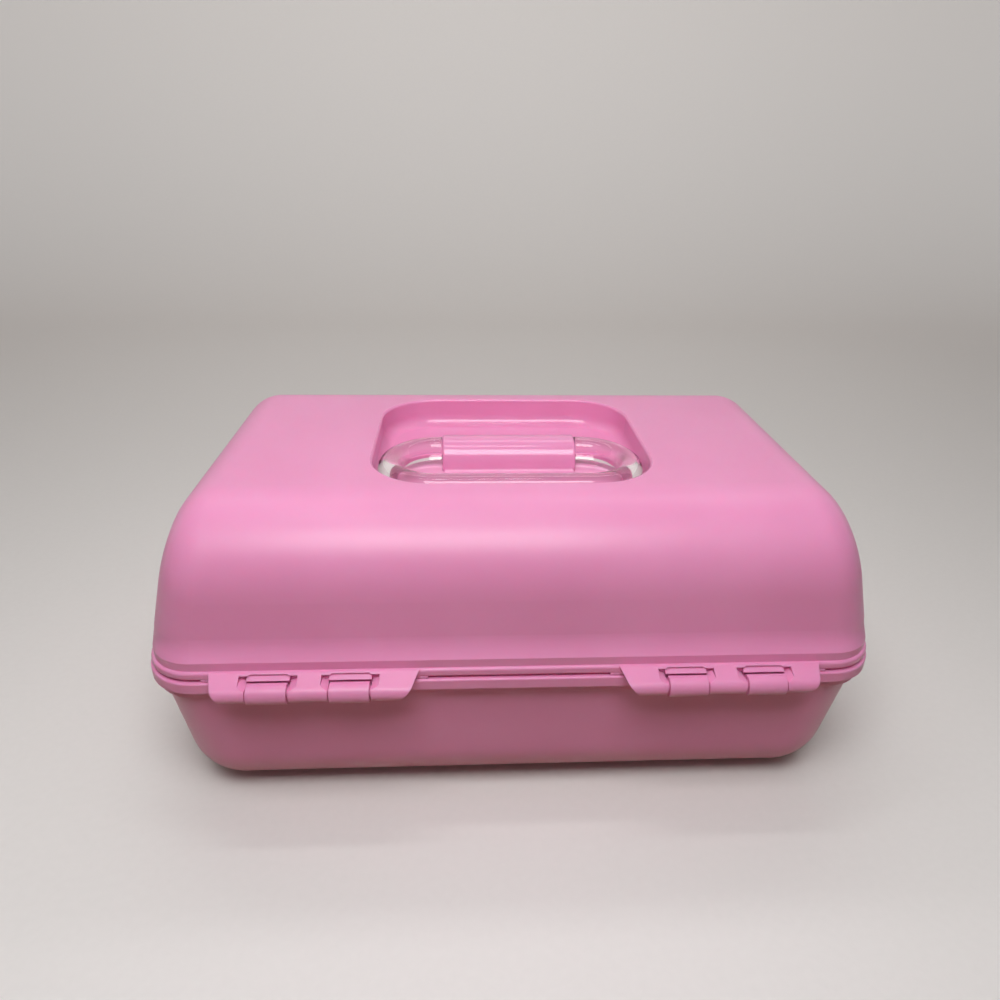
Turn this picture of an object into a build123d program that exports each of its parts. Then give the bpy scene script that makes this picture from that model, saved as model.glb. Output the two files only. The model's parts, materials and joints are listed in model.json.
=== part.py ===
from build123d import *
import os
from math import cos, radians, sin, sqrt, tan

# A carry case for make-up: moulded tub, domed lid on snap hinges, clear fold-down handle in a
# recess of the lid, front latch, mirror under the lid and a divided tray that lifts on arms.
# +Z is up, +X runs along the case, -Y is the hinge side and +Y the latch side. The origin is the
# centre of the foot ring, on the table.

# ---- driving dimensions, millimetres -------------------------------------------------------------
case_length = 330.0         # over the lid lip, along X
case_depth = 222.0          # over the lid lip, along Y
case_height = 149.5         # table to lid top
rim_top = 78.7              # top of the tub rim
parting_gap = 1.0           # open slot between tub rim and lid lip

shell_wall = 2.4            # moulded wall of tub and lid
edge_round = 0.8            # small moulded edge round

# tub
tub_draft = 4.5             # degrees
tub_step_x = 1.0            # tub wall set in under the rim, at the two ends
tub_step_y = 3.6            # the same, at hinge side and latch side
tub_floor = 2.6
tub_top_corner = 22.0
tub_foot_corner = 33.0
tub_foot_round = 30.0
rim_height = 5.2
rim_proud = 1.0             # how far the tub rim stands out past the lid lip
skirt_height = 5.0          # shallow band of the tub under its rim
skirt_set_in_x = 0.5        # from the lid lip, at the two ends
skirt_set_in_y = 2.2        # the same, at hinge side and latch side
foot_ring_height = 2.0
foot_ring_width = 4.0
foot_ring_corner = 12.0
foot_ring_setback = 1.5     # from the edge of the tub's flat bottom

# lid
lid_end_draft = 12.5        # degrees, the two ends
lid_side_draft = 8.0        # degrees, hinge side and latch side
lid_end_set_in = 2.8        # lid wall inside the lip where the flare starts, at the ends
lid_side_set_in = 5.8       # the same, at hinge side and latch side
shoulder_radius = 42.0      # long rounding along hinge side and latch side
lid_edge_radius = 20.0      # rounding of the ends and the upright corners
lip_height = 4.0            # lower, outermost lip
band_height = 4.1           # narrower band above it
band_step = 1.4             # band set in from the lip
lip_round = 1.2             # along the lip's outer edges
flare_height = 9.2          # concave flare between wall and band
lip_corner = 23.0

# handle recess, pivot block and handle
recess_length = 138.0
recess_depth_y = 118.0
recess_corner = 30.0
recess_depth = 15.4
recess_floor_round = 6.0
recess_rim_round = 1.4
block_length = 70.0
block_radius = 13.0
block_drop = 0.6            # top of the block below the lid top
block_wall = 3.0
block_foot_round = 3.0      # soft fillet between block and recess floor
block_end_round = 1.2
handle_bar_radius = 6.25
handle_reach = 47.5         # pivot line to the middle of the grip
handle_shoulder = 1.8       # straight stretch between block and bend
handle_drop = 7.5           # pivot line below the lid top
handle_end_gap = 0.3
stub_radius = 3.0
stub_length = 7.0

# hinges: pins moulded in the lid's plates, open hooks moulded on the tub
hinge_offset = 5.6          # pin line behind the lid lip
hinge_height = 77.0
pin_radius = 2.4
running_gap = 0.06          # radial play of every pin in its eye
barrel_radius = 3.8
hook_wall = 2.1
hook_width = 17.0
hook_pitch = 35.0           # between the two hooks of one plate
hook_middle = 91.0          # middle of a plate's two hooks, from the case's middle
hook_mouth_low = 5.0        # degrees from +Y, the opening through which the pin snaps in
hook_mouth_high = 62.0
plate_inner_top = 44.0      # plate outline, from the case's middle
plate_inner_bottom = 53.0
plate_outer_top = 134.2
plate_outer_bottom = 128.1
window_gap = 0.7            # beside a hook
window_top_drop = 0.4       # window top below the plate top
ledge_drop = 0.8            # sloping ledge at the top of a window, below the plate's face
ledge_edge = 0.7            # its thickness at the free edge
ledge_gap = 0.34            # free edge to the hook that turns under it
window_corner = 1.6
notch_reach = 3.2           # side notches of a window, past its edge
notch_height = 3.2
notch_slope = 1.2           # by which a notch's foot drops towards the window
notch_rise = 0.4            # from the pin to the notch's lowest point
stop_rib_gap = 0.25         # ribs beside the plates that carry the closed lid
stop_rib_width = 2.5
stop_rib_reach = 7.5        # past the plates' ends

# latch
latch_width = 68.0
latch_foot_width = 58.0
latch_pin_radius = 1.5
latch_barrel_radius = 4.0
latch_plate = 2.6
latch_length = 22.5         # pin line to lower edge
latch_hook_height = 2.8
latch_hook_bite = 1.5       # under the tub rim
latch_hook_gap = 0.35
latch_grip_round = 1.2
lug_width = 4.0
lug_gap = 0.4

# mirror
frame_length = 236.0
frame_depth = 130.0
frame_corner = 12.0
frame_thickness = 6.0
frame_back = 2.8
frame_border = 12.0
frame_clearance = 2.0       # under the recess floor
glass_thickness = 2.0
glass_gap = 0.3
mirror_screw_radius = 1.4
mirror_screw_head_radius = 2.8
mirror_screw_length = 12.0
mirror_boss_radius = 4.5
mirror_screw_row = 45.0     # screws, from the case's middle along Y

# tray and its arms
tray_depth_y = 184.0
tray_height = 34.0
tray_bottom = 48.0
tray_wall = 1.8
tray_corner = 14.0
tray_foot_round = 4.0
tray_lip_width = 1.2
tray_lip_height = 2.0
tray_wall_height = 26.0     # lengthwise partition
slot_pitch = 36.5
slot_count = 7
slot_rib_width = 1.4
slot_rib_reach = 1.6
divider_thickness = 1.6
divider_gap = 0.2
divider_height = 27.0
divider_corner = 5.0
arm_length = 65.0
arm_rest_angle = -10.0      # degrees from +Y
arm_spacing = 80.0
arm_pivot_y = -76.0
arm_pivot_z = 66.3
arm_thickness = 2.8
arm_eye_radius = 5.2
link_thickness = 2.6
link_eye_radius = 4.2
layer_gap = 0.4             # between arm, link, boss and rivet head
crank_y = 32.0              # lid pin from the hinge line, and link pin from the arm pivot
crank_z = 14.0
wall_boss_reach = 3.6
boss_radius = 5.5
rivet_radius = 2.0
rivet_head_radius = 3.5
rivet_head = 1.2
rivet_seat_gap = 0.02       # a rivet is pressed in: this only keeps the two faces apart
tray_side_gap = 1.5

# ---- what follows from them ------------------------------------------------------------------------
half_length = case_length / 2
half_depth = case_depth / 2
rim_bottom = rim_top - rim_height
tub_bottom = foot_ring_height
lip_bottom = rim_top + parting_gap
lip_top = lip_bottom + lip_height
band_top = lip_top + band_height
wall_foot = band_top + flare_height
shoulder = min(shoulder_radius, 0.82 * (case_height - wall_foot))     # leaves some straight side wall
recess_floor = case_height - recess_depth
hinge_y = -(half_depth + hinge_offset)
hinge_line = (hinge_y, hinge_height)
handle_z = case_height - handle_drop
hook_radius = pin_radius + running_gap + hook_wall
latch_y = half_depth + hinge_offset + hook_radius - latch_barrel_radius    # stands out as far as the hooks
latch_z = lip_top


def tub_half(z):
    """Half length and half depth of the tub's outside at height z."""
    drawn_in = (rim_bottom - z) * tan(radians(tub_draft))
    return half_length - tub_step_x - drawn_in, half_depth - tub_step_y - drawn_in


def lid_half(z):
    """Half length and half depth of the lid's drafted wall at height z."""
    rise = z - wall_foot
    return (half_length - lid_end_set_in - rise * tan(radians(lid_end_draft)),
            half_depth - lid_side_set_in - rise * tan(radians(lid_side_draft)))


def tub_form(bottom, inset, foot_round):
    """Drafted tub volume from bottom to the rim's top, drawn in by inset."""
    with BuildPart() as form:
        for height, corner in ((bottom, tub_foot_corner), (rim_top, tub_top_corner)):
            half_x, half_y = tub_half(height)
            with BuildSketch(Plane.XY.offset(height)):
                RectangleRounded(2 * (half_x - inset), 2 * (half_y - inset), corner - inset)
        loft(ruled=True)
        fillet(form.edges().group_by(Axis.Z)[0], foot_round)
    return form.part


def lid_form(bottom, inset):
    """Domed lid volume above bottom, drawn in by inset on every side."""
    top = case_height - inset
    low_x, low_y = lid_half(bottom)
    high_x, high_y = lid_half(top)
    end_inset = inset / cos(radians(lid_end_draft))
    side_inset = inset / cos(radians(lid_side_draft))
    with BuildPart() as form:
        with BuildSketch(Plane.XZ):
            with BuildLine():
                Polyline((end_inset - low_x, bottom), (low_x - end_inset, bottom),
                         (high_x - end_inset, top), (end_inset - high_x, top), close=True)
            make_face()
        extrude(amount=case_depth, both=True)
        with BuildSketch(Plane.YZ) as dome:
            with BuildLine():
                Polyline((side_inset - low_y, bottom), (low_y - side_inset, bottom),
                         (high_y - side_inset, top), (side_inset - high_y, top), close=True)
            make_face()
            fillet(dome.vertices().group_by(Axis.Y)[-1], shoulder - inset)
        extrude(amount=case_length, both=True, mode=Mode.INTERSECT)
        ends = (form.faces().sort_by(Axis.X)[0], form.faces().sort_by(Axis.X)[-1])
        for end in ends:
            fillet(end.edges().sort_by(Axis.Z)[1:], lid_edge_radius - inset)
    return form.part


def save(piece, label):
    """Name a finished piece and write it."""
    piece.label = label
    export_step(piece, f"parts/{label}.step")


os.makedirs("parts", exist_ok=True)

# ---- tray mechanism: places of the pivots and layers ------------------------------------------------
wall_face = tub_half(arm_pivot_z)[0] - shell_wall
boss_face = wall_face - wall_boss_reach
arm_outer = boss_face - layer_gap
arm_inner = arm_outer - arm_thickness
link_outer = arm_inner - layer_gap
link_inner = link_outer - link_thickness
tray_half_x = link_inner - layer_gap - rivet_head - tray_side_gap
tray_half_y = tray_depth_y / 2
arm_rise = arm_length * sin(radians(arm_rest_angle))
arm_run = arm_length * cos(radians(arm_rest_angle))
rear_pivot = (arm_pivot_y, arm_pivot_z)
front_pivot = (arm_pivot_y + arm_spacing, arm_pivot_z)
rear_tray_pin = (rear_pivot[0] + arm_run, arm_pivot_z + arm_rise)
front_tray_pin = (front_pivot[0] + arm_run, arm_pivot_z + arm_rise)
arm_link_pin = (rear_pivot[0] + crank_y, rear_pivot[1] + crank_z)
lid_link_pin = (hinge_line[0] + crank_y, hinge_line[1] + crank_z)
eye_hole = rivet_radius + running_gap
seat_hole = rivet_radius + rivet_seat_gap

# ---- tub ----------------------------------------------------------------------------------------------
tub_cavity = tub_form(tub_bottom + tub_floor, shell_wall, tub_foot_round - shell_wall)
hook_places = [side * (hook_middle + step * hook_pitch / 2) for side in (-1, 1) for step in (-1, 1)]
tub_outer = tub_form(tub_bottom, 0, tub_foot_round)
flat_half_x = tub_half(tub_bottom)[0] - tub_foot_round
flat_half_y = tub_half(tub_bottom)[1] - tub_foot_round

with BuildPart() as tub:
    add(tub_outer)
    with BuildSketch(Plane.XY.offset(rim_bottom)):
        RectangleRounded(2 * (half_length + rim_proud), 2 * (half_depth + rim_proud), lip_corner + rim_proud)
    extrude(amount=rim_height)
    fillet(tub.faces().sort_by(Axis.Z)[-1].outer_wire().edges(), edge_round)
    # shallow band under the rim
    with BuildSketch(Plane.XY.offset(rim_bottom)):
        RectangleRounded(2 * (half_length - skirt_set_in_x), 2 * (half_depth - skirt_set_in_y), tub_top_corner)
    extrude(amount=-skirt_height)
    # foot ring under the flat bottom
    with BuildSketch():
        ring_x = flat_half_x - foot_ring_setback
        ring_y = flat_half_y - foot_ring_setback
        RectangleRounded(2 * ring_x, 2 * ring_y, foot_ring_corner)
        RectangleRounded(2 * (ring_x - foot_ring_width), 2 * (ring_y - foot_ring_width),
                         foot_ring_corner - foot_ring_width, mode=Mode.SUBTRACT)
    extrude(amount=foot_ring_height + tub_floor / 2)
    add(tub_cavity, mode=Mode.SUBTRACT)
    # bosses for the arms on both end walls
    for side in (-1, 1):
        with BuildSketch(Plane.YZ.offset(side * boss_face)):
            with Locations(rear_pivot, front_pivot):
                Circle(boss_radius)
        extrude(amount=side * (wall_boss_reach + shell_wall / 2))
        with BuildSketch(Plane.YZ.offset(side * boss_face)):
            with Locations(rear_pivot, front_pivot):
                Circle(seat_hole)
        extrude(amount=side * wall_boss_reach, mode=Mode.SUBTRACT)
    # open hooks: ring with a mouth, and a root from the rim
    for place in hook_places:
        with BuildSketch(Plane.YZ.offset(place - hook_width / 2)):
            with Locations(hinge_line):
                Circle(hook_radius)
            root_y = -(half_depth + rim_proud - edge_round)
            with BuildLine():
                Polyline((root_y, rim_bottom), (hinge_y, hinge_height - hook_radius),
                         (hinge_y, hinge_height), (root_y, hinge_height), close=True)
            make_face()
            with Locations(hinge_line):
                Circle(pin_radius + running_gap, mode=Mode.SUBTRACT)
            mouth = 2 * hook_radius
            with BuildLine():
                Polyline(hinge_line,
                         (hinge_y + mouth * cos(radians(hook_mouth_low)),
                          hinge_height + mouth * sin(radians(hook_mouth_low))),
                         (hinge_y + mouth * cos(radians(hook_mouth_high)),
                          hinge_height + mouth * sin(radians(hook_mouth_high))), close=True)
            make_face(mode=Mode.SUBTRACT)
        extrude(amount=hook_width)
save(tub.part, "tub")

# ---- lid ----------------------------------------------------------------------------------------------
lid_cavity = lid_form(lip_bottom, shell_wall)
lid_outer = lid_form(wall_foot, 0)
block_top = case_height - block_drop
block_axis = block_top - block_radius
frame_top = recess_floor - shell_wall - frame_clearance
frame_bottom = frame_top - frame_thickness
screw_x = frame_length / 2 - frame_border / 2
screw_places = [(x * screw_x, y * mirror_screw_row) for x in (-1, 1) for y in (-1, 1)]
lug_places = [side * (latch_width / 2 + lug_gap + lug_width / 2) for side in (-1, 1)]
plate_top = lip_top
window_half = hook_width / 2 + window_gap
window_top = plate_top - window_top_drop


def tangent_on_barrel(y, z):
    """Point where the line from (y, z) touches the hinge barrel on its outer side."""
    dy = hinge_y - y
    dz = hinge_height - z
    reach = sqrt(dy * dy + dz * dz)
    along = sqrt(reach * reach - barrel_radius * barrel_radius) / reach
    across = barrel_radius / reach
    # unit vector to the touching point: the line to the barrel's middle turned outwards
    uy = (dy * along + dz * across) / reach
    uz = (dz * along - dy * across) / reach
    run = along * reach
    return y + uy * run, z + uz * run


def under_plate(depth, reach):
    """Point depth under a plate's sloping face and reach up the slope from the barrel."""
    low_y, low_z = tangent_on_barrel(-half_depth, plate_top)
    run_y = -half_depth - low_y
    run_z = plate_top - low_z
    slope = sqrt(run_y * run_y + run_z * run_z)
    return (low_y + (run_y * reach + run_z * depth) / slope,
            low_z + (run_z * reach - run_y * depth) / slope)


# barrel of the pivot block, down to the middle of the recess floor's wall
with BuildPart() as block_barrel:
    with BuildSketch(Plane.YZ.offset(-block_length / 2)):
        with Locations((0, block_axis)):
            Circle(block_radius)
    extrude(amount=block_length)
    fillet(block_barrel.edges().filter_by(GeomType.CIRCLE), block_end_round)
    with BuildSketch(Plane.XY.offset(recess_floor - shell_wall / 2)):
        Rectangle(block_length, 2 * block_radius)
    extrude(amount=-2 * block_radius, mode=Mode.SUBTRACT)

with BuildPart() as lid:
    add(lid_outer)
    # concave flare from the wall out to the band
    sections = [lid.faces().sort_by(Axis.Z)[0]]
    for share in (0.35, 0.7, 1.0):
        height = wall_foot - share * flare_height
        wall_x, wall_y = lid_half(height)
        foot_x, foot_y = lid_half(band_top)
        out_x = (half_length - band_step - foot_x) * share * share
        out_y = (half_depth - band_step - foot_y) * share * share
        corner = lid_edge_radius + (lip_corner - band_step - lid_edge_radius) * share
        with BuildSketch(Plane.XY.offset(height), mode=Mode.PRIVATE) as section:
            RectangleRounded(2 * (wall_x + out_x), 2 * (wall_y + out_y), corner)
        sections.append(section.sketch.face())
    loft(sections)
    with BuildSketch(Plane.XY.offset(lip_bottom)):
        RectangleRounded(case_length - 2 * band_step, case_depth - 2 * band_step, lip_corner - band_step)
    extrude(amount=lip_height + band_height)
    with BuildSketch(Plane.XY.offset(lip_bottom)):
        RectangleRounded(case_length, case_depth, lip_corner)
    extrude(amount=lip_height)
    lip_face = lid.faces().filter_by_position(Axis.Z, lip_top - 0.01, lip_top + 0.01)[0]
    fillet(lip_face.outer_wire().edges(), lip_round)
    fillet(lid.faces().sort_by(Axis.Z)[0].outer_wire().edges(), lip_round)
    # hinge plates: an apron from the band down to the barrel, cut to the plate's outline
    touch = tangent_on_barrel(-half_depth, plate_top)
    for side in (-1, 1):
        with BuildSketch(Plane.YZ.offset(side * plate_inner_top)):
            with BuildLine():
                Polyline((-half_depth, plate_top), touch, hinge_line,
                         (hinge_y + barrel_radius * cos(radians(45)), lip_bottom),
                         (band_step - half_depth, lip_bottom), (band_step - half_depth, plate_top), close=True)
            make_face()
            with Locations(hinge_line):
                Circle(barrel_radius)
        extrude(amount=side * (plate_outer_top - plate_inner_top))
    plate_foot = hinge_height - barrel_radius
    with BuildSketch(Plane.XZ.offset(half_depth + 2 * hinge_offset)):
        for side in (-1, 1):
            for top_x, bottom_x in ((plate_inner_top, plate_inner_bottom), (plate_outer_top, plate_outer_bottom)):
                with BuildLine():
                    Polyline((side * top_x, plate_top), (side * bottom_x, plate_foot),
                             (side * top_x, plate_foot), close=True)
                make_face()
    extrude(amount=-2 * hinge_offset, mode=Mode.SUBTRACT)
    # windows for the hooks, with side notches, cut back to the lip's face
    with BuildSketch(Plane.XZ.offset(half_depth + 2 * hinge_offset)):
        for place in hook_places:
            foot = plate_foot - 1
            notch_foot = hinge_height + pin_radius + notch_rise
            with Locations((place, (foot + window_top) / 2)):
                RectangleRounded(2 * window_half, window_top - foot, window_corner)
            with Locations((place, foot + window_corner)):
                Rectangle(2 * window_half, 2 * window_corner)
            with BuildLine():
                Polyline((place - window_half - notch_reach, notch_foot + notch_height),
                         (place + window_half + notch_reach, notch_foot + notch_height),
                         (place + window_half + notch_reach, notch_foot + notch_slope),
                         (place + window_half, notch_foot), (place - window_half, notch_foot),
                         (place - window_half - notch_reach, notch_foot + notch_slope), close=True)
            make_face()
    extrude(amount=-2 * hinge_offset, mode=Mode.SUBTRACT)
    # sloping ledges at the tops of the windows, from the lip to just short of the hooks
    ledge_foot = sqrt((hook_radius + ledge_gap) ** 2 - (barrel_radius - ledge_drop - ledge_edge) ** 2)
    ledge_head = under_plate(ledge_drop, sqrt((plate_top - touch[1]) ** 2 + (half_depth + touch[0]) ** 2))
    for place in hook_places:
        with BuildSketch(Plane.YZ.offset(place - window_half)):
            with BuildLine():
                Polyline(ledge_head, under_plate(ledge_drop, ledge_foot),
                         under_plate(ledge_drop + ledge_edge, ledge_foot),
                         (ledge_head[0], lip_bottom + lip_round), close=True)
            make_face()
        extrude(amount=2 * window_half)
    # pins across the windows
    for place in hook_places:
        with BuildSketch(Plane.YZ.offset(place - window_half - 1)):
            with Locations(hinge_line):
                Circle(pin_radius)
        extrude(amount=2 * window_half + 2)
    # ribs that carry the closed lid beside the hinges
    with BuildSketch(Plane.XY.offset(rim_top + stop_rib_gap)):
        for side in (-1, 1):
            with Locations((side * (plate_inner_top + plate_outer_top) / 2, (stop_rib_width - case_depth) / 2)):
                Rectangle(plate_outer_top - plate_inner_top + stop_rib_reach, stop_rib_width)
            with Locations((side * latch_width / 2, (case_depth - stop_rib_width) / 2)):
                Rectangle(latch_width / 2, stop_rib_width)
    extrude(amount=parting_gap)
    # lugs that hold the latch pin
    for place in lug_places:
        with BuildSketch(Plane.YZ.offset(place - lug_width / 2)):
            with Locations((latch_y, latch_z)):
                Circle(latch_barrel_radius)
            with BuildLine():
                Polyline((half_depth - band_step, latch_z + latch_barrel_radius),
                         (latch_y, latch_z + latch_barrel_radius), (latch_y, latch_z),
                         (half_depth, lip_bottom), (half_depth - band_step, lip_bottom), close=True)
            make_face()
        extrude(amount=lug_width)
    add(lid_cavity, mode=Mode.SUBTRACT)
    # handle recess: its tub under the lid top, then the hollow
    with BuildSketch(Plane.XY.offset(recess_floor - shell_wall)):
        RectangleRounded(recess_length + 2 * shell_wall, recess_depth_y + 2 * shell_wall,
                         recess_corner + shell_wall)
    extrude(amount=recess_depth)
    with BuildSketch(Plane.XY.offset(recess_floor)):
        RectangleRounded(recess_length, recess_depth_y, recess_corner)
    extrude(amount=recess_depth, mode=Mode.SUBTRACT)
    recess_edges = lid.edges().filter_by_position(Axis.Y, -recess_depth_y / 2 - 0.1, recess_depth_y / 2 + 0.1)
    recess_edges = recess_edges.filter_by_position(Axis.X, -recess_length / 2 - 0.1, recess_length / 2 + 0.1)
    fillet(recess_edges.filter_by_position(Axis.Z, recess_floor - 0.01, recess_floor + 0.01),
           recess_floor_round)
    rim_edges = lid.edges().filter_by_position(Axis.Y, -recess_depth_y / 2 - 0.1, recess_depth_y / 2 + 0.1)
    rim_edges = rim_edges.filter_by_position(Axis.X, -recess_length / 2 - 0.1, recess_length / 2 + 0.1)
    fillet(rim_edges.filter_by_position(Axis.Z, case_height - 0.01, case_height + 0.01), recess_rim_round)
    # pivot block, half round, cored out from below
    add(block_barrel.part)
    with BuildSketch(Plane.YZ.offset(block_end_round - block_length / 2)) as block_profile:
        with Locations((0, block_axis)):
            Circle(block_radius)
        with Locations((0, recess_floor - shell_wall / 4)):
            Rectangle(2 * (block_radius + 3 * block_foot_round), shell_wall / 2)
        with Locations((0, recess_floor - shell_wall / 2 - block_radius)):
            Rectangle(2 * block_radius, 2 * block_radius, mode=Mode.SUBTRACT)
        foot_corners = block_profile.vertices().filter_by_position(Axis.X, -block_radius, block_radius)
        fillet(foot_corners.filter_by_position(Axis.Y, recess_floor - 0.01, recess_floor + 0.01),
               block_foot_round)
    extrude(amount=block_length - 2 * block_end_round)
    with BuildSketch(Plane.YZ.offset(block_wall - block_length / 2)):
        with Locations((0, block_axis)):
            Circle(block_radius - block_wall)
        with Locations((0, block_axis - block_radius / 2)):
            Rectangle(2 * (block_radius - block_wall), block_radius)
    extrude(amount=block_length - 2 * block_wall, mode=Mode.SUBTRACT)
    with BuildSketch(Plane.YZ.offset(-block_length / 2)):
        with Locations((0, handle_z)):
            Circle(stub_radius + running_gap)
    extrude(amount=block_length, mode=Mode.SUBTRACT)
    # bosses for the mirror frame's screws
    with BuildSketch(Plane.XY.offset(frame_top)):
        with Locations(*screw_places):
            Circle(mirror_boss_radius)
    extrude(amount=case_height - shell_wall / 2 - frame_top)
    with BuildSketch(Plane.XY.offset(frame_top)):
        with Locations(*screw_places):
            Circle(mirror_screw_radius + rivet_seat_gap)
    extrude(amount=mirror_screw_length, mode=Mode.SUBTRACT)
    # bosses for the pins of the two lid links
    for side in (-1, 1):
        boss_length = lid_half(lid_link_pin[1])[0] - shell_wall / 2 - link_outer - layer_gap
        with BuildSketch(Plane.YZ.offset(side * (link_outer + layer_gap))):
            with Locations(lid_link_pin):
                Circle(boss_radius)
        extrude(amount=side * boss_length)
        with BuildSketch(Plane.YZ.offset(side * (link_outer + layer_gap))):
            with Locations(lid_link_pin):
                Circle(seat_hole)
        extrude(amount=side * boss_length, mode=Mode.SUBTRACT)
    # bore for the latch pin
    with BuildSketch(Plane.YZ.offset(-case_length / 2)):
        with Locations((latch_y, latch_z)):
            Circle(latch_pin_radius + rivet_seat_gap)
    extrude(amount=case_length, mode=Mode.SUBTRACT)
save(lid.part, "lid")

# ---- carry handle: one clear bent bar with a stub at each end ---------------------------------------
end_bend = handle_reach / 2
bar_end = block_length / 2 + handle_end_gap

with BuildPart() as handle:
    with BuildLine(Plane.XY.offset(handle_z)) as handle_path:
        bend_x = bar_end + handle_shoulder
        start = Line((-bar_end, 0), (-bend_x, 0))
        left_bend = ThreePointArc(start @ 1, (-bend_x - end_bend, -end_bend), (-bend_x, -handle_reach))
        grip = Line(left_bend @ 1, (bend_x, -handle_reach))
        right_bend = ThreePointArc(grip @ 1, (bend_x + end_bend, -end_bend), (bend_x, 0))
        Line(right_bend @ 1, (bar_end, 0))
    with BuildSketch(Plane.YZ.offset(-bar_end)):
        with Locations((0, handle_z)):
            Circle(handle_bar_radius)
    sweep()
    for side in (-1, 1):
        with BuildSketch(Plane.YZ.offset(side * bar_end)):
            with Locations((0, handle_z)):
                Circle(stub_radius)
        extrude(amount=-side * stub_length)
save(handle.part, "carry_handle")

# ---- front latch and its pin ---------------------------------------------------------------------------
latch_foot = latch_z - latch_length
latch_face = latch_y + latch_barrel_radius
latch_back = latch_face - latch_plate
hook_tip_y = half_depth + rim_proud - latch_hook_bite
hook_top = rim_bottom - latch_hook_gap

with BuildPart() as latch:
    with BuildSketch(Plane.YZ.offset(-latch_width / 2)) as latch_profile:
        with Locations((latch_y, latch_z)):
            Circle(latch_barrel_radius)
        with BuildLine():
            Polyline((latch_back, latch_z), (latch_face, latch_z), (latch_face, latch_foot),
                     (latch_back, latch_foot), close=True)
        make_face()
        with BuildLine():
            Polyline((latch_back, hook_top), (hook_tip_y, hook_top),
                     (hook_tip_y, hook_top - latch_hook_height / 2),
                     (latch_back, hook_top - 2 * latch_hook_height), close=True)
        make_face()
    extrude(amount=latch_width)
    # the sides taper towards the lower edge
    with BuildSketch(Plane.XZ.offset(-latch_face - latch_plate)):
        for side in (-1, 1):
            with BuildLine():
                Polyline((side * latch_width / 2, latch_z - latch_barrel_radius),
                         (side * latch_foot_width / 2, latch_foot), (side * latch_width / 2, latch_foot),
                         close=True)
            make_face()
    extrude(amount=2 * latch_barrel_radius + 2 * latch_plate, mode=Mode.SUBTRACT)
    fillet(latch.edges().filter_by(Axis.X).group_by(Axis.Z)[0], latch_grip_round)
    with BuildSketch(Plane.YZ.offset(-latch_width / 2)):
        with Locations((latch_y, latch_z)):
            Circle(latch_pin_radius + running_gap)
    extrude(amount=latch_width, mode=Mode.SUBTRACT)
save(latch.part, "front_latch")

with BuildPart() as latch_pin:
    with BuildSketch(Plane.YZ.offset(-(latch_width / 2 + lug_gap + lug_width))):
        with Locations((latch_y, latch_z)):
            Circle(latch_pin_radius)
    extrude(amount=latch_width + 2 * lug_gap + 2 * lug_width)
save(latch_pin.part, "latch_pin")

# ---- mirror, its frame and the frame's screws ------------------------------------------------------------
pocket_x = frame_length - 2 * frame_border
pocket_y = frame_depth - 2 * frame_border
pocket_top = frame_top - frame_back

with BuildPart() as mirror_frame:
    with BuildSketch(Plane.XY.offset(frame_bottom)):
        RectangleRounded(frame_length, frame_depth, frame_corner)
    extrude(amount=frame_thickness)
    fillet(mirror_frame.faces().sort_by(Axis.Z)[0].edges(), 2 * edge_round)
    with BuildSketch(Plane.XY.offset(frame_bottom)):
        RectangleRounded(pocket_x, pocket_y, frame_corner / 2)
    extrude(amount=frame_thickness - frame_back, mode=Mode.SUBTRACT)
    with BuildSketch(Plane.XY.offset(frame_bottom)):
        with Locations(*screw_places):
            Circle(mirror_screw_radius + running_gap)
    extrude(amount=frame_thickness, mode=Mode.SUBTRACT)
    with BuildSketch(Plane.XY.offset(frame_bottom)):
        with Locations(*screw_places):
            Circle(mirror_screw_head_radius + running_gap)
    extrude(amount=frame_thickness / 2, mode=Mode.SUBTRACT)
save(mirror_frame.part, "mirror_frame")

with BuildPart() as mirror:
    with BuildSketch(Plane.XY.offset(pocket_top - glass_thickness)):
        RectangleRounded(pocket_x - 2 * glass_gap, pocket_y - 2 * glass_gap, frame_corner / 2 - glass_gap)
    extrude(amount=glass_thickness)
save(mirror.part, "mirror")

with BuildPart() as mirror_screws:
    with BuildSketch(Plane.XY.offset(frame_bottom + frame_thickness / 2)):
        with Locations(*screw_places):
            Circle(mirror_screw_radius)
    extrude(amount=mirror_screw_length)
    with BuildSketch(Plane.XY.offset(frame_bottom + frame_thickness / 2)):
        with Locations(*screw_places):
            Circle(mirror_screw_head_radius)
    extrude(amount=-frame_thickness / 3)
save(mirror_screws.part, "mirror_screws")

# ---- lift-up tray -------------------------------------------------------------------------------------------
tray_floor = tray_bottom + tray_wall
tray_top = tray_bottom + tray_height
inner_y = tray_half_y - tray_wall
row_depth = inner_y - tray_wall / 2
slot_width = divider_thickness + 2 * divider_gap
rib_offset = slot_width / 2 + slot_rib_width / 2

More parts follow.
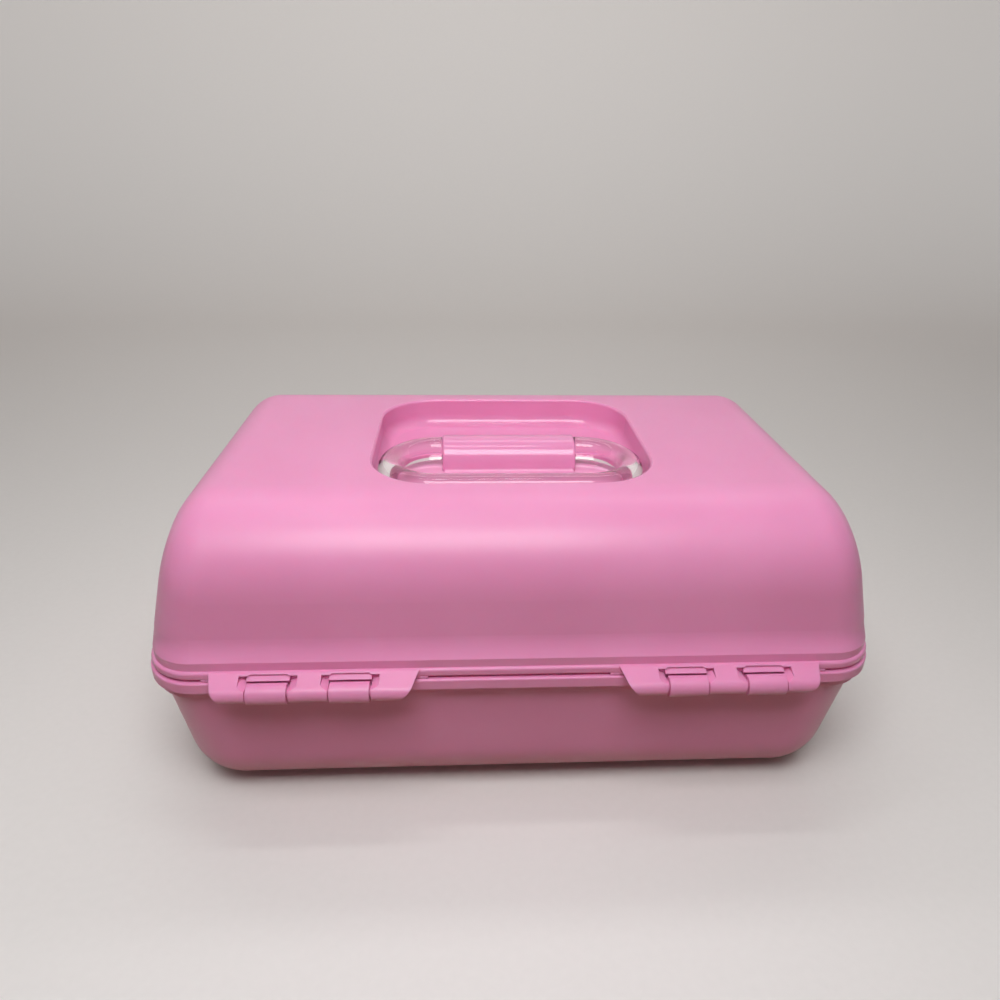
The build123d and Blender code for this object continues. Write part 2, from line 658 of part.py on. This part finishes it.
with BuildPart() as tray:
    with BuildSketch(Plane.XY.offset(tray_bottom)):
        RectangleRounded(2 * tray_half_x, tray_depth_y, tray_corner)
    extrude(amount=tray_height)
    fillet(tray.faces().sort_by(Axis.Z)[0].edges(), tray_foot_round)
    with BuildSketch(Plane.XY.offset(tray_floor)):
        RectangleRounded(2 * (tray_half_x - tray_wall), 2 * inner_y, tray_corner - tray_wall)
    extrude(amount=tray_height, mode=Mode.SUBTRACT)
    # rolled lip round the top
    with BuildSketch(Plane.XY.offset(tray_top - tray_lip_height)):
        RectangleRounded(2 * (tray_half_x + tray_lip_width), tray_depth_y + 2 * tray_lip_width,
                         tray_corner + tray_lip_width)
        RectangleRounded(2 * tray_half_x - tray_wall, 2 * tray_half_y - tray_wall,
                         tray_corner - tray_wall / 2, mode=Mode.SUBTRACT)
    extrude(amount=tray_lip_height)
    # lengthwise partition and the pairs of ribs that hold the dividers
    with BuildSketch(Plane.XY.offset(tray_floor)):
        Rectangle(2 * tray_half_x - tray_wall, tray_wall)
        for row in (-1, 1):
            for wall_y in (tray_wall / 2, inner_y - slot_rib_reach):
                with Locations((0, row * (wall_y + slot_rib_reach / 2))):
                    with GridLocations(slot_pitch, 0, slot_count, 1):
                        with Locations((-rib_offset, 0), (rib_offset, 0)):
                            Rectangle(slot_rib_width, slot_rib_reach)
    extrude(amount=tray_wall_height)
    # bosses for the arms
    boss_reach = arm_inner - layer_gap - tray_half_x
    for side in (-1, 1):
        with BuildSketch(Plane.YZ.offset(side * (tray_half_x - tray_wall))):
            with Locations(rear_tray_pin, front_tray_pin):
                Circle(boss_radius)
        extrude(amount=side * (boss_reach + tray_wall))
        with BuildSketch(Plane.YZ.offset(side * (tray_half_x - tray_wall / 2))):
            with Locations(rear_tray_pin, front_tray_pin):
                Circle(seat_hole)
        extrude(amount=side * (boss_reach + tray_wall / 2), mode=Mode.SUBTRACT)
save(tray.part, "tray")

# dividers in the slots: three in the latch-side row, one in the hinge-side row
divider_slots = {"divider_1": (-2, 1), "divider_2": (0, 1), "divider_3": (2, 1), "divider_4": (1, -1)}
for label, (slot, row) in divider_slots.items():
    low_y = tray_wall / 2 + divider_gap
    high_y = inner_y - divider_gap
    with BuildPart() as divider:
        with BuildSketch(Plane.YZ.offset(slot * slot_pitch - divider_thickness / 2)):
            with Locations((row * (low_y + high_y) / 2, tray_floor + divider_height / 2)):
                Rectangle(high_y - low_y, divider_height)
        extrude(amount=divider_thickness)
        fillet(divider.edges().filter_by(Axis.X).group_by(Axis.Z)[-1], divider_corner)
    save(divider.part, label)

# ---- arms, links and rivets ---------------------------------------------------------------------------------
for side, hand in ((-1, "left"), (1, "right")):
    with BuildPart() as rear_arm:
        with BuildSketch(Plane.YZ.offset(side * arm_inner)):
            with Locations(rear_pivot, rear_tray_pin, arm_link_pin):
                Circle(arm_eye_radius)
            make_hull()
            with Locations(rear_pivot, rear_tray_pin):
                Circle(eye_hole, mode=Mode.SUBTRACT)
            with Locations(arm_link_pin):
                Circle(seat_hole, mode=Mode.SUBTRACT)
        extrude(amount=side * arm_thickness)
    save(rear_arm.part, f"rear_arm_{hand}")

    with BuildPart() as front_arm:
        with BuildSketch(Plane.YZ.offset(side * arm_inner)):
            with Locations(front_pivot, front_tray_pin):
                Circle(arm_eye_radius)
            make_hull()
            with Locations(front_pivot, front_tray_pin):
                Circle(eye_hole, mode=Mode.SUBTRACT)
        extrude(amount=side * arm_thickness)
    save(front_arm.part, f"front_arm_{hand}")

    with BuildPart() as link:
        with BuildSketch(Plane.YZ.offset(side * link_inner)):
            with Locations(lid_link_pin, arm_link_pin):
                Circle(link_eye_radius)
            make_hull()
            with Locations(lid_link_pin, arm_link_pin):
                Circle(eye_hole, mode=Mode.SUBTRACT)
        extrude(amount=side * link_thickness)
    save(link.part, f"lid_link_{hand}")


def rivets(places, seat, head_face):
    """Rivets on both sides of the case, each a shank from its seat to head_face and a head there."""
    outward = 1 if head_face > seat else -1
    with BuildPart() as group:
        for side in (-1, 1):
            with BuildSketch(Plane.YZ.offset(side * seat)):
                with Locations(*places):
                    Circle(rivet_radius)
            extrude(amount=side * (head_face - seat))
            with BuildSketch(Plane.YZ.offset(side * head_face)):
                with Locations(*places):
                    Circle(rivet_head_radius)
            extrude(amount=side * outward * rivet_head)
    return group.part


save(rivets((rear_pivot, front_pivot), wall_face, arm_inner - layer_gap), "tub_arm_rivets")
save(rivets((rear_tray_pin, front_tray_pin), tray_half_x - tray_wall / 2, arm_outer + layer_gap / 2),
     "tray_arm_rivets")
save(rivets((lid_link_pin,), lid_half(lid_link_pin[1])[0] - shell_wall, link_inner - layer_gap),
     "lid_link_rivets")
save(rivets((arm_link_pin,), arm_outer, link_inner - layer_gap), "arm_link_rivets")
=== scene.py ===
"""A moulded carry case for make-up, closed on a pale table, seen from its hinge side.

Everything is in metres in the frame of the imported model: +X along the case, -Y the hinge side, +Z up,
the origin on the table under the middle of the case.
"""

import json
import math

import bpy
import numpy as np
from mathutils import Matrix, Vector


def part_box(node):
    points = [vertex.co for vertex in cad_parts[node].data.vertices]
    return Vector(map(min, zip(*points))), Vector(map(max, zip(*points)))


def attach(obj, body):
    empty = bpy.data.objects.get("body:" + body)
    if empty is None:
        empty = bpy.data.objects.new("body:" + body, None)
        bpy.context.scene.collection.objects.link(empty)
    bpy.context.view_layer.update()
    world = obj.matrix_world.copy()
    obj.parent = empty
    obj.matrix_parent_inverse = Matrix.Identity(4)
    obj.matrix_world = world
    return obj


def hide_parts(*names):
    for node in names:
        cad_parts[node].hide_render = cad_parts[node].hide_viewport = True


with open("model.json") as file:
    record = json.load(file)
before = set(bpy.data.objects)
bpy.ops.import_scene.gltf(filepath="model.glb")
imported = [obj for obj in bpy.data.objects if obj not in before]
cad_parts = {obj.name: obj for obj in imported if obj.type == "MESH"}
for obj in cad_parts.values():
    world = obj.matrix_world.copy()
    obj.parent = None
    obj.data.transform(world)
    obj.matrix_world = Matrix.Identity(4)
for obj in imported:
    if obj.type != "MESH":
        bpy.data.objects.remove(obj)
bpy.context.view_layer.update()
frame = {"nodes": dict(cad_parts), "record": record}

# ---- sizes, metres -------------------------------------------------------------------------------
MM = 0.001

# handle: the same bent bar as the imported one, with finer rings and broken edges
handle_low, handle_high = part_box("carry_handle")
HANDLE_BAR_RADIUS = (handle_high.z - handle_low.z) / 2
HANDLE_HEIGHT = (handle_high.z + handle_low.z) / 2
HANDLE_GRIP_Y = handle_low.y + HANDLE_BAR_RADIUS
HANDLE_BEND = -HANDLE_GRIP_Y / 2
HANDLE_BEND_X = handle_high.x - HANDLE_BEND - HANDLE_BAR_RADIUS
HANDLE_SHOULDER = 1.8 * MM
STUB_RADIUS = 3.0 * MM
STUB_LENGTH = 7.0 * MM
BAR_EDGE_ROUND = 0.7 * MM
STUB_EDGE_ROUND = 0.4 * MM
STUB_CORNER = 0.2 * MM
BAR_RINGS = 260
BAR_SIDES = 64
ROUND_POINTS = 5
SHARP_DEGREES = 35.0

# handle recess of the lid, polished in the mould; the polish fades out just past its edge
RECESS_HALF = (69.0 * MM, 59.0 * MM)
RECESS_CORNER = 30.0 * MM
POLISH_FULL = 0.2 * MM
POLISH_GONE = 1.6 * MM

# moulded skin
GRAIN = 1.6 * MM
MOULDED_EDGE = 0.45 * MM
SATIN_BUMP = 0.05
POLISHED_BUMP = 0.005

# camera: placed as the photograph was taken
CAMERA_PLACE = (-0.0252950, -0.3675477, 0.2927215)
CAMERA_YAW = 0.0584
CAMERA_PITCH = 0.4583
CAMERA_ROLL = -0.02
FOCAL_PIXELS = 738.5156
IMAGE_PIXELS = 1000.0
SENSOR_MM = 36.0
NEAREST_SEEN = 0.01

# studio: a sweep of floor and back wall, which glows beyond a distance that the lamps light
FLOOR_REACH = 7.0
WALL_Y = 1.6
WALL_HEIGHT = 3.2
SWEEP_RADIUS = 0.7
SWEEP_POINTS = 24
GLOW_START = 0.9
GLOW_END = 3.2
GLOW_STRENGTH = 0.5
WORLD_LIGHT = 0.09
WORLD_SEEN = 0.6


# ---- small helpers -------------------------------------------------------------------------------
def srgb(code, alpha=1.0):
    """Linear colour of an sRGB hex code such as F29AC2."""
    channels = [int(code[i:i + 2], 16) / 255 for i in (0, 2, 4)]
    linear = [c / 12.92 if c <= 0.04045 else ((c + 0.055) / 1.055) ** 2.4 for c in channels]
    return (*linear, alpha)


def add_node(tree, kind, settings=None, inputs=None, links=None):
    """One node with its settings, its socket values, and links given as socket: source socket."""
    node = tree.nodes.new(kind)
    for name, value in (settings or {}).items():
        setattr(node, name, value)
    for name, value in (inputs or {}).items():
        node.inputs[name].default_value = value
    for name, source in (links or {}).items():
        tree.links.new(source, node.inputs[name])
    return node


def new_material(name):
    """An empty node material; returns it with its tree, its output node and its object coordinates."""
    material = bpy.data.materials.new(name)
    material.use_nodes = True
    tree = material.node_tree
    tree.nodes.clear()
    output = add_node(tree, "ShaderNodeOutputMaterial")
    place = add_node(tree, "ShaderNodeTexCoord").outputs["Object"]
    return material, tree, output, place


def new_piece(name, points, faces, body, material):
    """A mesh object of this scene at the origin, riding on a body."""
    mesh = bpy.data.meshes.new(name)
    mesh.from_pydata(points.reshape(-1, 3).tolist(), [], faces)
    mesh.validate()
    mesh.shade_smooth()
    mesh.set_sharp_from_angle(angle=math.radians(SHARP_DEGREES))
    piece = bpy.data.objects.new(name, mesh)
    bpy.context.scene.collection.objects.link(piece)
    mesh.materials.append(material)
    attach(piece, body)
    return piece


# ---- materials -----------------------------------------------------------------------------------
def recess_mask(tree, place):
    """1 inside the rounded rectangle of the handle recess, seen from above, and 0 outside: the distance
    from a point to the rectangle shrunk by its corner radius is compared with that radius."""
    folded = add_node(tree, "ShaderNodeVectorMath", {"operation": "ABSOLUTE"}, {}, {0: place})
    core = (RECESS_HALF[0] - RECESS_CORNER, RECESS_HALF[1] - RECESS_CORNER, 1.0)
    beyond = add_node(tree, "ShaderNodeVectorMath", {"operation": "SUBTRACT"}, {1: core},
                      {0: folded.outputs["Vector"]})
    outside = add_node(tree, "ShaderNodeVectorMath", {"operation": "MAXIMUM"}, {1: (0.0, 0.0, 0.0)},
                       {0: beyond.outputs["Vector"]})
    distance = add_node(tree, "ShaderNodeVectorMath", {"operation": "LENGTH"}, {},
                        {0: outside.outputs["Vector"]})
    mask = add_node(tree, "ShaderNodeMapRange", {},
                    {"From Min": RECESS_CORNER + POLISH_GONE, "From Max": RECESS_CORNER + POLISH_FULL},
                    {"Value": distance.outputs["Value"]})
    return mask.outputs["Result"]


def moulded_polypropylene(name, colour, shade, roughness, polished=None):
    """Injection moulded polypropylene: one colour right through, a satin skin from a fine spark-eroded
    mould, faint flow clouds a few centimetres wide and softly broken edges. Where the handle recess is,
    the mould is polished, and the skin has the roughness given as polished."""
    material, tree, output, place = new_material(name)
    flow = add_node(tree, "ShaderNodeTexNoise", {}, {"Scale": 14.0, "Detail": 3.0, "Roughness": 0.5},
                    {"Vector": place})
    clouds = add_node(tree, "ShaderNodeMapRange", {}, {"From Min": 0.35, "From Max": 0.65},
                      {"Value": flow.outputs["Fac"]})
    tint = add_node(tree, "ShaderNodeMix", {"data_type": "RGBA"},
                    {"A": srgb(colour), "B": srgb(shade)}, {"Factor": clouds.outputs["Result"]})
    grain = add_node(tree, "ShaderNodeTexNoise", {},
                     {"Scale": 1.0 / GRAIN, "Detail": 2.0, "Roughness": 0.55}, {"Vector": place})
    skin = add_node(tree, "ShaderNodeMapRange", {},
                    {"From Min": 0.3, "From Max": 0.7,
                     "To Min": roughness - 0.03, "To Max": roughness + 0.04},
                    {"Value": grain.outputs["Fac"]})
    edges = add_node(tree, "ShaderNodeBevel", {"samples": 6}, {"Radius": MOULDED_EDGE})
    bump = add_node(tree, "ShaderNodeBump", {}, {"Strength": SATIN_BUMP, "Distance": 0.2 * MM},
                    {"Height": grain.outputs["Fac"], "Normal": edges.outputs["Normal"]})
    if polished is not None:
        mask = recess_mask(tree, place)
        skin = add_node(tree, "ShaderNodeMix", {}, {"B": polished},
                        {"Factor": mask, "A": skin.outputs["Result"]})
        depth = add_node(tree, "ShaderNodeMapRange", {},
                         {"To Min": SATIN_BUMP, "To Max": POLISHED_BUMP}, {"Value": mask})
        tree.links.new(depth.outputs["Result"], bump.inputs["Strength"])
    plastic = add_node(tree, "ShaderNodeBsdfPrincipled", {},
                       {"IOR": 1.49, "Subsurface Weight": 0.3, "Subsurface Scale": 2.5 * MM,
                        "Subsurface Radius": (1.0, 0.45, 0.6)},
                       {"Base Color": tint.outputs["Result"], "Roughness": skin.outputs["Result"],
                        "Normal": bump.outputs["Normal"]})
    tree.links.new(plastic.outputs["BSDF"], output.inputs["Surface"])
    return material


def clear_acrylic(name):
    """Moulded clear acrylic, polished: water-clear with a faint warm tint and sharp highlights."""
    material, tree, output, place = new_material(name)
    ripple = add_node(tree, "ShaderNodeTexNoise", {}, {"Scale": 90.0, "Detail": 1.0}, {"Vector": place})
    bump = add_node(tree, "ShaderNodeBump", {}, {"Strength": 0.04, "Distance": 0.3 * MM},
                    {"Height": ripple.outputs["Fac"]})
    acrylic = add_node(tree, "ShaderNodeBsdfPrincipled", {},
                       {"Base Color": srgb("FFF6FA"), "IOR": 1.49, "Roughness": 0.015,
                        "Transmission Weight": 1.0},
                       {"Normal": bump.outputs["Normal"]})
    tree.links.new(acrylic.outputs["BSDF"], output.inputs["Surface"])
    return material


def nickel_plated_steel(name, colour, roughness, streak_mm):
    """Stamped steel strip, barrelled and nickel plated: warm grey metal with fine rolling streaks."""
    material, tree, output, place = new_material(name)
    along = add_node(tree, "ShaderNodeMapping", {}, {"Scale": (1.0, 0.06, 1.0)}, {"Vector": place})
    streaks = add_node(tree, "ShaderNodeTexNoise", {}, {"Scale": 1.0 / (streak_mm * MM), "Detail": 3.0},
                       {"Vector": along.outputs["Vector"]})
    polish = add_node(tree, "ShaderNodeMapRange", {},
                      {"To Min": roughness - 0.06, "To Max": roughness + 0.1},
                      {"Value": streaks.outputs["Fac"]})
    edges = add_node(tree, "ShaderNodeBevel", {"samples": 4}, {"Radius": 0.25 * MM})
    bump = add_node(tree, "ShaderNodeBump", {}, {"Strength": 0.12, "Distance": 0.05 * MM},
                    {"Height": streaks.outputs["Fac"], "Normal": edges.outputs["Normal"]})
    metal = add_node(tree, "ShaderNodeBsdfPrincipled", {},
                     {"Base Color": srgb(colour), "Metallic": 1.0},
                     {"Roughness": polish.outputs["Result"], "Normal": bump.outputs["Normal"]})
    tree.links.new(metal.outputs["BSDF"], output.inputs["Surface"])
    return material


def silvered_glass(name):
    """Mirror of float glass, silvered behind: bright, nearly without blur, a little cool."""
    material, tree, output, place = new_material(name)
    waves = add_node(tree, "ShaderNodeTexNoise", {}, {"Scale": 12.0, "Detail": 1.0}, {"Vector": place})
    haze = add_node(tree, "ShaderNodeMapRange", {}, {"To Min": 0.01, "To Max": 0.04},
                    {"Value": waves.outputs["Fac"]})
    glass = add_node(tree, "ShaderNodeBsdfPrincipled", {},
                     {"Base Color": srgb("EDF2F1"), "Metallic": 1.0},
                     {"Roughness": haze.outputs["Result"]})
    tree.links.new(glass.outputs["BSDF"], output.inputs["Surface"])
    return material


# ---- the handle ----------------------------------------------------------------------------------
def ring_faces(rings, sides):
    """Quads between consecutive rings, and a fan of triangles from the first and the last ring to its
    pole. Points are numbered ring by ring; the two poles come last."""
    index = np.arange(rings * sides).reshape(rings, sides)
    turned = np.roll(index, -1, axis=1)
    quads = np.stack([index[:-1], index[1:], turned[1:], turned[:-1]], axis=-1).reshape(-1, 4)
    first, last = rings * sides, rings * sides + 1
    start = np.stack([np.full(sides, first), index[0], turned[0]], axis=-1)
    end = np.stack([np.full(sides, last), turned[-1], index[-1]], axis=-1)
    return quads.tolist() + start.tolist() + end.tolist()


def handle_bar(material):
    """The clear bar. Its middle line runs straight out of the block along X, round a half circle of
    radius bend, along the grip and back round the other half circle. A station is a length along that
    line and a radius: stub, shoulder, full bar, shoulder, stub. A point of a ring is
    middle + radius * (cos turn * side + sin turn * up)."""
    bend, grip = HANDLE_BEND, 2 * HANDLE_BEND_X
    arc = math.pi * bend
    total = 2 * HANDLE_SHOULDER + 2 * arc + grip
    quarter = np.linspace(0.0, math.pi / 2, ROUND_POINTS)
    stub_tip = np.stack([-STUB_LENGTH + STUB_EDGE_ROUND * (1 - np.cos(quarter)),
                         STUB_RADIUS - STUB_EDGE_ROUND * (1 - np.sin(quarter))], axis=-1)
    shoulder = np.stack([BAR_EDGE_ROUND * (1 - np.cos(quarter)),
                         HANDLE_BAR_RADIUS - BAR_EDGE_ROUND * (1 - np.sin(quarter))], axis=-1)
    inner = np.array([[-STUB_CORNER, STUB_RADIUS], [0.0, STUB_RADIUS + STUB_CORNER]])
    start = np.concatenate([stub_tip, inner, shoulder])
    lengths = np.linspace(2 * BAR_EDGE_ROUND, total - 2 * BAR_EDGE_ROUND, BAR_RINGS)
    middle = np.stack([lengths, np.full_like(lengths, HANDLE_BAR_RADIUS)], axis=-1)
    end = start[::-1] * (-1, 1) + (total, 0)
    station, radius = np.concatenate([start, middle, end]).T

    # the middle line: x, y and heading at each station
    bent = station - HANDLE_SHOULDER
    first = np.clip(bent, 0, arc) / bend
    second = np.clip(bent - arc - grip, 0, arc) / bend
    heading = math.pi + first + second
    along = np.clip(bent - arc, 0, grip)
    before = np.minimum(bent, 0)
    after = np.maximum(bent - 2 * arc - grip, 0)
    x = -HANDLE_BEND_X - bend * np.sin(first) + along + bend * np.sin(second) - before - after
    y = -bend * (1 - np.cos(first)) + bend * (1 - np.cos(second))

    turn = np.linspace(0, 2 * math.pi, BAR_SIDES, endpoint=False)
    side_x, side_y = np.sin(heading), -np.cos(heading)
    offset = radius[:, None] * np.cos(turn)
    points = np.stack([x[:, None] + offset * side_x[:, None],
                       y[:, None] + offset * side_y[:, None],
                       HANDLE_HEIGHT + radius[:, None] * np.sin(turn)], axis=-1)
    poles = np.array([[x[0], y[0], HANDLE_HEIGHT], [x[-1], y[-1], HANDLE_HEIGHT]])
    points = np.concatenate([points.reshape(-1, 3), poles])
    piece = new_piece("handle_bar", points, ring_faces(len(station), BAR_SIDES), "handle", material)
    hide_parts("carry_handle")


# ---- camera, floor and light ---------------------------------------------------------------------
def place_camera():
    """Camera at the photograph's place. Its axes come from yaw, pitch and roll of the line of sight."""
    cos_yaw, sin_yaw = math.cos(CAMERA_YAW), math.sin(CAMERA_YAW)
    cos_pitch, sin_pitch = math.cos(CAMERA_PITCH), math.sin(CAMERA_PITCH)
    sight = Vector((sin_yaw * cos_pitch, cos_yaw * cos_pitch, -sin_pitch))
    level = Vector((cos_yaw, -sin_yaw, 0.0))
    down = -level.cross(sight)
    right = level * math.cos(CAMERA_ROLL) + down * math.sin(CAMERA_ROLL)
    up = right.cross(sight)
    data = bpy.data.cameras.new("camera")
    data.sensor_width = SENSOR_MM
    data.lens = FOCAL_PIXELS / IMAGE_PIXELS * SENSOR_MM
    data.clip_start = NEAREST_SEEN
    camera = bpy.data.objects.new("camera", data)
    camera.matrix_world = Matrix((
        (right.x, up.x, -sight.x, CAMERA_PLACE[0]),
        (right.y, up.y, -sight.y, CAMERA_PLACE[1]),
        (right.z, up.z, -sight.z, CAMERA_PLACE[2]),
        (0.0, 0.0, 0.0, 1.0)))
    bpy.context.scene.collection.objects.link(camera)
    bpy.context.scene.camera = camera


def studio_floor():
    """A pale sweep: flat floor, then a quarter circle up into a back wall, extruded along X. It shows
    pale to the eye, in glass and in mirrors, and throws back less light than that onto the object. Far
    from the object, where the lamps don't reach, it glows a little to stay pale."""
    angle = np.linspace(0, math.pi / 2, SWEEP_POINTS)
    profile_y = np.concatenate([[-FLOOR_REACH], WALL_Y - SWEEP_RADIUS * (1 - np.sin(angle)), [WALL_Y]])
    profile_z = np.concatenate([[0.0], SWEEP_RADIUS * (1 - np.cos(angle)), [WALL_HEIGHT]])
    across = np.array([-FLOOR_REACH, FLOOR_REACH])
    points = np.stack(np.broadcast_arrays(across[:, None], profile_y, profile_z), axis=-1)
    count = len(profile_y)
    lower = np.arange(count - 1)
    faces = np.stack([lower, lower + count, lower + count + 1, lower + 1], axis=-1)
    mesh = bpy.data.meshes.new("studio_floor")
    mesh.from_pydata(points.reshape(-1, 3).tolist(), [], faces.tolist())
    mesh.shade_smooth()
    floor = bpy.data.objects.new("studio_floor", mesh)
    bpy.context.scene.collection.objects.link(floor)
    material, tree, output, place = new_material("painted_floor")
    rays = add_node(tree, "ShaderNodeLightPath")
    seen = add_node(tree, "ShaderNodeMath", {"operation": "MAXIMUM"}, {},
                    {0: rays.outputs["Is Camera Ray"], 1: rays.outputs["Is Glossy Ray"]})
    seen = add_node(tree, "ShaderNodeMath", {"operation": "MAXIMUM"}, {},
                    {0: seen.outputs["Value"], 1: rays.outputs["Is Transmission Ray"]})
    speckle = add_node(tree, "ShaderNodeTexNoise", {}, {"Scale": 260.0, "Detail": 2.0},
                       {"Vector": place})
    pale = add_node(tree, "ShaderNodeMix", {"data_type": "RGBA"},
                    {"A": srgb("EFECEA"), "B": srgb("F3F0EE")}, {"Factor": speckle.outputs["Fac"]})
    colour = add_node(tree, "ShaderNodeMix", {"data_type": "RGBA"}, {"A": srgb("95734F")},
                      {"Factor": seen.outputs["Value"], "B": pale.outputs["Result"]})
    distance = add_node(tree, "ShaderNodeVectorMath", {"operation": "LENGTH"}, {}, {0: place})
    fade = add_node(tree, "ShaderNodeMapRange", {"interpolation_type": "SMOOTHSTEP"},
                    {"From Min": GLOW_START, "From Max": GLOW_END, "To Max": GLOW_STRENGTH},
                    {"Value": distance.outputs["Value"]})
    glow = add_node(tree, "ShaderNodeMath", {"operation": "MULTIPLY"}, {},
                    {0: fade.outputs["Result"], 1: seen.outputs["Value"]})
    paint = add_node(tree, "ShaderNodeBsdfPrincipled", {},
                     {"Roughness": 0.7, "Specular IOR Level": 0.2, "Emission Color": srgb("F3F0EE")},
                     {"Base Color": colour.outputs["Result"],
                      "Emission Strength": glow.outputs["Value"]})
    tree.links.new(paint.outputs["BSDF"], output.inputs["Surface"])
    mesh.materials.append(material)


def soft_light(name, place, aim, size, power):
    """A white rectangular area lamp that looks at aim."""
    data = bpy.data.lights.new(name, "AREA")
    data.shape = "RECTANGLE"
    data.size, data.size_y = size
    data.energy = power
    lamp = bpy.data.objects.new(name, data)
    sight = Vector(aim) - Vector(place)
    turned = sight.to_track_quat("-Z", "Y").to_matrix().to_4x4()
    lamp.matrix_world = Matrix.Translation(place) @ turned
    bpy.context.scene.collection.objects.link(lamp)


def studio_light():
    """A key lamp high in front, a thin one close overhead that draws the bright lines on the polished
    plastic, one turned to the back wall, a broad ceiling, and a dim world that looks pale to the eye."""
    soft_light("key", (-0.05, -0.4, 0.72), (-0.02, -0.08, 0.1), (0.45, 0.3), 3.4)
    soft_light("strip", (-0.08, -0.04, 0.65), (-0.08, -0.04, 0.0), (0.3, 0.03), 0.32)
    soft_light("backdrop", (0.0, 0.7, 1.5), (0.0, 1.6, 0.3), (1.8, 0.5), 9.5)
    soft_light("ceiling", (0.0, -0.8, 3.2), (0.0, -0.8, 0.0), (6.0, 5.0), 12.0)
    world = bpy.data.worlds.new("studio")
    world.use_nodes = True
    tree = world.node_tree
    tree.nodes.clear()
    rays = add_node(tree, "ShaderNodeLightPath")
    strength = add_node(tree, "ShaderNodeMapRange", {},
                        {"To Min": WORLD_LIGHT, "To Max": WORLD_SEEN},
                        {"Value": rays.outputs["Is Camera Ray"]})
    sky = add_node(tree, "ShaderNodeBackground", {}, {"Color": srgb("FFFAF5")},
                   {"Strength": strength.outputs["Result"]})
    output = add_node(tree, "ShaderNodeOutputWorld")
    tree.links.new(sky.outputs["Background"], output.inputs["Surface"])
    bpy.context.scene.world = world


# ---- put together --------------------------------------------------------------------------------
def finish_nodes():
    """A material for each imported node."""
    pink, pink_shade = "F59ECC", "F199C7"
    shell = moulded_polypropylene("polypropylene_satin_pink", pink, pink_shade, 0.34)
    lid = moulded_polypropylene("polypropylene_satin_pink_polished_recess", pink, pink_shade, 0.34,
                                polished=0.13)
    inside = moulded_polypropylene("polypropylene_satin_tray", "F7C4DA", "F3BDD5", 0.4)
    mirror_rim = moulded_polypropylene("polystyrene_satin_white", "F2ECEE", "EDE6E9", 0.34)
    strip = nickel_plated_steel("steel_strip_nickel_plated", "C9C5BF", 0.3, 0.5)
    rivet = nickel_plated_steel("steel_rivet_nickel_plated", "D2CFCA", 0.22, 0.8)
    silver = silvered_glass("glass_silvered")
    by_slot = {"tub_shell": shell, "lid_shell": lid, "tray_plastic": inside,
               "frame_white": mirror_rim, "arm_steel": strip, "steel": rivet, "mirror_glass": silver}
    for entry in frame["record"]["subparts"]:
        if entry["material_slot"] in by_slot:
            material_slot = frame["nodes"][entry["node"]].material_slots[0]
            material_slot.material = by_slot[entry["material_slot"]]


finish_nodes()
handle_bar(clear_acrylic("acrylic_clear_polished"))
place_camera()
studio_floor()
studio_light()
bpy.context.scene.view_settings.view_transform = "Standard"
